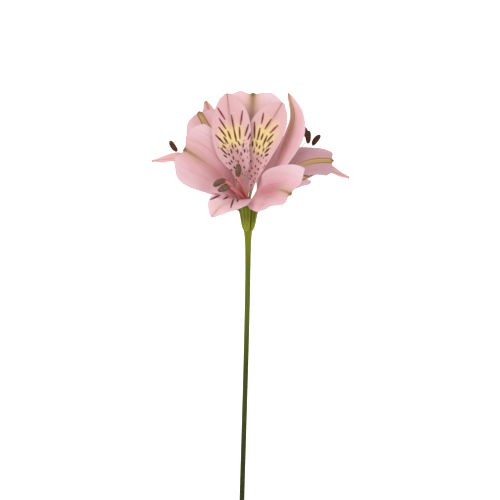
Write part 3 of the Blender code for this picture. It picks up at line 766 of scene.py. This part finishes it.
def add_tepal(flower, leaf, finish, random):
    """One tepal as a thin closed leaf with a keel, a tip and a ruffled margin."""
    name = f"{flower.name}_{leaf['name']}"
    outer = leaf["whorl"] == "outer"
    rows, columns = FINE_GRID if name in PHOTO_MARKS else PLAIN_GRID
    outline = leaf.get("outline", OUTER_OUTLINE if outer else INNER_OUTLINE)
    # Spine
    root = flower.rim(leaf["hour"], OUTER_RING if outer else INNER_RING)
    lead = root + CLAW_LENGTH * unit(flower.axis + CLAW_FLARE * flower.outward(leaf["hour"]))
    knots = np.linspace(0, 1, SPINE_STEPS)
    spine = smooth_curve([root, lead, *leaf["path"]], knots)
    length = np.sum(np.linalg.norm(np.diff(spine, axis=0), axis=1))
    tangents = np.gradient(spine, axis=0)
    # Each point's place across the leaf, its share along the spine, and the directions there
    across, along = np.meshgrid(np.sin(np.linspace(-1, 1, columns) * math.pi / 2), np.linspace(0, 1, rows))
    across = across.ravel()
    share = along.ravel() * end_line(flower, leaf, across)
    centre = np.stack([np.interp(share, knots, spine[:, i]) for i in range(3)], axis=1)
    heading = unit(np.stack([np.interp(share, knots, tangents[:, i]) for i in range(3)], axis=1))
    turned = np.clip(share / TURN_SHARE, 0, 1)[:, None]
    face = unit(-flower.outward(leaf["hour"]) * (1 - turned) + unit(leaf["face"]) * turned)
    side = unit(np.cross(heading, face))
    normal = np.cross(side, heading)
    # Middle surface: an arc across, with ripples at the margin and a fold along the middle
    half_width = leaf["half_width"] * rounded_at(outline, share * (1 - 2 * leaf.get("skew", 0) * across))
    bend = np.where(across < 0, leaf["cup"][0], leaf["cup"][1]) * np.clip(CLAW_CUP + share, 0, 1) * across
    safe = np.where(np.abs(bend) < 1e-6, 1e-6, bend)
    sideways = half_width * across * np.sin(safe) / safe
    lift = half_width * across * (1 - np.cos(safe)) / safe
    ripple = np.sin(RUFFLES_ALONG * share + RUFFLES_ACROSS * across + leaf["hour"])
    ruffle = RUFFLE * np.abs(across) ** 4 * ripple * np.clip(share, 0, 1)
    swell = np.sin(WAVES_ALONG * share + WAVES_ACROSS * across)
    wave = leaf.get("wave", 0) * half_width * np.abs(across) ** 3 * swell
    fold = -RIB_HEIGHT * bell(across, FOLD_WIDTH) * np.clip(FOLD_RISE * share, 0, 1)
    middle = centre + sideways[:, None] * side + (lift + ruffle + wave + fold)[:, None] * normal
    # Front and back
    thick = 0.5 * TEPAL_THICKNESS * (MIDDLE_THICKNESS - MARGIN_THINNING * across**2 - END_THINNING * share)
    thick = np.maximum(thick, THINNEST) + TIP_LUMP * bell(across, TIP_WIDTH) * bell(share - 1, TIP_LENGTH)
    keel = RIB_HEIGHT * bell(across, KEEL_WIDTH) * (1.0 if outer else INNER_RIB)
    front = middle + thick[:, None] * normal
    back = middle - (thick + keel)[:, None] * normal
    spots = np.stack([across * half_width, share * length], axis=1)
    mark = tepal_marks(name, outer, front[:, :2], spots, length, leaf["half_width"], random)
    faces = sheet_faces(rows, columns, flip=True) + sheet_faces(rows, columns, first=rows * columns)
    faces += edge_faces(rows, columns)
    masks = {
        "along": np.tile(share, 2),
        "across": np.tile(across, 2),
        "ending": np.tile(along.ravel(), 2),
        "inside": np.repeat([1.0, 0.0], rows * columns),
        "mark": np.tile(mark, 2),
        "seed": np.full(2 * rows * columns, random.uniform(0, 50)),
    }
    add_piece(name, np.vstack([front, back]), faces, masks, finish)


def tube(path, radii, sides, ribs=0, depth=0.0):
    """Points and faces of a closed tube whose section can carry ribs, and each point's share along it."""
    tangents = unit(np.gradient(path, axis=0))
    across = unit(np.cross(tangents[0], (0.31, 0.17, 0.93)))
    angles = np.linspace(0, 2 * math.pi, sides, endpoint=False)
    points = []
    for spot, tangent, radius in zip(path, tangents, radii):
        across = unit(across - np.dot(across, tangent) * tangent)
        other = np.cross(tangent, across)
        ring = radius * (1 + depth * np.cos(ribs * angles))
        spokes = np.cos(angles)[:, None] * across + np.sin(angles)[:, None] * other
        points.append(spot + ring[:, None] * spokes)
    count = len(path)
    faces = []
    for ring in range(count - 1):
        for side in range(sides):
            after = (side + 1) % sides
            faces.append((ring * sides + side, ring * sides + after,
                          (ring + 1) * sides + after, (ring + 1) * sides + side))
    faces.append(tuple(range(sides))[::-1])
    faces.append(tuple(range((count - 1) * sides, count * sides)))
    return np.vstack(points), faces, np.repeat(np.linspace(0, 1, count), sides)


def arch(flower, root, end, share, count):
    """Points along a share of a curve that leaves the rim up the flower's axis and arches over to an end."""
    middle = 0.5 * (root + end) + ARCH * np.linalg.norm(end - root) * flower.axis
    return smooth_curve([root, root + ARCH_RISE * flower.axis, middle, end], np.linspace(0, share, count))


def add_stamen(flower, number, hour, tip, tilt, filament, anther):
    """A tapering filament, and an anther of two lobes with a groove between them."""
    root = flower.rim(hour, FILAMENT_RING)
    tilt = unit(tilt)
    tip = np.array(tip, float)
    joint = tip - tilt * (ANTHER_LENGTH / 2 - FILAMENT_SINK)
    path = arch(flower, root, joint, 1, FILAMENT_RINGS)
    radii = FILAMENT_THICKNESS[flower.name] * rounded_at(FILAMENT_RADII, np.linspace(0, 1, FILAMENT_RINGS))
    points, faces, along = tube(path, radii, FILAMENT_SIDES)
    add_piece(f"{flower.name}_filament_{number}", points, faces, {"along": along}, filament)
    shares = np.linspace(0, 1, ANTHER_RINGS)
    bow = ANTHER_BOW * np.sin(math.pi * shares)
    sway = unit(np.cross(tilt, flower.axis))
    path = tip + np.outer(shares - 0.5, tilt) * ANTHER_LENGTH + np.outer(bow, sway)
    radii = ANTHER_RADIUS * np.sqrt(np.clip(1 - np.abs(2 * shares - 1) ** ANTHER_FULLNESS, 0.002, 1))
    points, faces, along = tube(path, radii, ANTHER_SIDES, ANTHER_LOBES, LOBE_DEPTH)
    add_piece(f"{flower.name}_anther_{number}", points, faces, {"along": along}, anther)


def add_pistil(flower, stamen_mean, finish):
    """Pedicel, ribbed ovary and a style that leans towards the middle of the stamens."""
    lean = np.array([math.cos(flower.foot_angle), 0, math.sin(flower.foot_angle)])
    foot = PEDICEL_RING * lean + np.array([0, STALK_PATH[0][1] - PEDICEL_SINK, 0])
    hip = foot + HIP_SPREAD * lean + np.array([0, HIP_RISE, 0])
    neck = flower.base - NECK_DROP * flower.axis + NECK_SPREAD * lean
    shares = np.linspace(0, 1, PISTIL_RINGS)
    body = smooth_curve([foot, hip, neck, flower.base], shares)
    points, faces, along = tube(body, rounded_at(OVARY_RADII, shares), PISTIL_SIDES, OVARY_RIBS, RIB_DEPTH)
    crown = flower.base - CROWN_DROP * flower.axis
    style = arch(flower, crown, stamen_mean, STYLE_SHARE, STYLE_RINGS)
    more, more_faces, _ = tube(style, np.full(STYLE_RINGS, STYLE_RADIUS), STYLE_SIDES)
    faces += [tuple(len(points) + corner for corner in face) for face in more_faces]
    ridge = np.cos(OVARY_RIBS * np.linspace(0, 2 * math.pi, PISTIL_SIDES, endpoint=False))
    masks = {
        "along": np.concatenate([along, np.full(len(more), STYLE_ALONG)]),
        "ridge": np.concatenate([np.tile(ridge, PISTIL_RINGS), np.ones(len(more))]),
    }
    add_piece(f"{flower.name}_pistil", np.vstack([points, more]), faces, masks, finish)


def add_stalk(finish):
    """The stalk, with rings that crowd towards the umbel and five faint ribs."""
    shares = np.linspace(0, 1, STALK_RINGS) ** STALK_CROWDING
    path = smooth_curve(STALK_PATH, shares)
    points, faces, _ = tube(path, at(STALK_RADII, shares), STALK_SIDES, STALK_RIBS, STALK_RIB_DEPTH)
    add_piece("stalk", points, faces, {"along": np.repeat(shares, STALK_SIDES)}, finish)


def add_floor():
    """A white sheet under the stem that glows a little, as a lit studio sweep does."""
    bpy.ops.mesh.primitive_plane_add(size=FLOOR_SIZE, location=(0, 0, 0))
    floor = bpy.context.object
    floor.name = "floor"
    shader = Shader("floor look", 0.9)
    shader.surface.inputs["Base Color"].default_value = (0.9, 0.9, 0.9, 1)
    shader.surface.inputs["Emission Color"].default_value = (1, 1, 1, 1)
    shader.surface.inputs["Emission Strength"].default_value = FLOOR_GLOW
    floor.data.materials.append(shader.material)


def add_lights():
    """White light from all round, and two soft lamps that point at the head."""
    world = bpy.data.worlds.new("studio")
    bpy.context.scene.world = world
    world.use_nodes = True
    world.node_tree.nodes["Background"].inputs["Color"].default_value = (1, 1, 1, 1)
    world.node_tree.nodes["Background"].inputs["Strength"].default_value = WORLD_LIGHT
    target = Vector(HEAD_IN_ROW * MM)
    for name, place, size, power in LAMPS:
        lamp = bpy.data.lights.new(name, "AREA")
        lamp.size = size
        lamp.energy = power
        stand = bpy.data.objects.new(name, lamp)
        stand.location = place
        stand.rotation_mode = "QUATERNION"
        stand.rotation_quaternion = (target - Vector(place)).to_track_quat("-Z", "Y")
        bpy.context.scene.collection.objects.link(stand)


def add_camera():
    """A long lens that looks straight down and frames the head as the photograph does."""
    centre = PHOTO_PIXELS / 2
    camera = bpy.data.cameras.new("camera")
    camera.sensor_width = SENSOR_WIDTH
    camera.lens = SENSOR_WIDTH * CAMERA_HEIGHT / (PHOTO_PIXELS * MM_PER_PIXEL * MM)
    camera.clip_end = CAMERA_REACH
    stand = bpy.data.objects.new("camera", camera)
    x = HEAD_IN_ROW[0] + (centre - UMBEL_PIXEL[0]) * MM_PER_PIXEL
    y = HEAD_IN_ROW[1] + (UMBEL_PIXEL[1] - centre) * MM_PER_PIXEL
    stand.location = (x * MM, y * MM, HEAD_IN_ROW[2] * MM + CAMERA_HEIGHT)
    bpy.context.scene.collection.objects.link(stand)
    bpy.context.scene.camera = stand


def main():
    """Builds every look piece, then the floor, the lights and the camera."""
    random = np.random.default_rng(DRAW_START)
    outer = petal_finish("outer petal look", HEART, BODY, EDGE, PINK_CLAW)
    inner = petal_finish("inner petal look", INNER_HEART, INNER_BODY, INNER_EDGE, CLAW, blotch=True)
    special = {
        "front_tepal_inner_low": petal_finish(
            "pale petal look", PALE_HEART, PALE_BODY, PALE_EDGE, PINK_CLAW, line=FINE_LINE),
        "front_tepal_outer_top": petal_finish(
            "lined petal look", PALE_HEART, PALE_BODY, PALE_EDGE, PINK_CLAW, line=WIDE_LINE),
        "front_tepal_outer_right": petal_finish(
            "banded petal look", PALE_HEART, BODY, EDGE, PALE_CLAW, band=True),
        # Painted shade: darker petal colours for a tepal that lies in shade
        "right_tepal_outer_right": petal_finish(
            "shaded petal look", SHADED_HEART, SHADED_BODY, SHADED_EDGE, PINK_CLAW),
    }
    filament = filament_finish()
    grey_anther = anther_finish("grey anther look", *GREY_ANTHER)
    brown_anther = anther_finish("brown anther look", *BROWN_ANTHER)
    green = green_finish()
    add_stalk(stalk_finish())
    for flower in (FRONT, LEFT, RIGHT):
        stamens = STAMENS[flower.name]
        add_pistil(flower, np.mean([tip for tip, tilt in stamens], axis=0), green)
        for leaf in TEPALS[flower.name]:
            usual = outer if leaf["whorl"] == "outer" else inner
            add_tepal(flower, leaf, special.get(f"{flower.name}_{leaf['name']}", usual), random)
        anther = grey_anther if flower is FRONT else brown_anther
        for number, (hour, (tip, tilt)) in enumerate(zip(STAMEN_HOURS, stamens), start=1):
            add_stamen(flower, number, hour, tip, tilt, filament, anther)
    add_floor()
    add_lights()
    add_camera()
    bpy.context.scene.view_settings.view_transform = "Standard"


main()
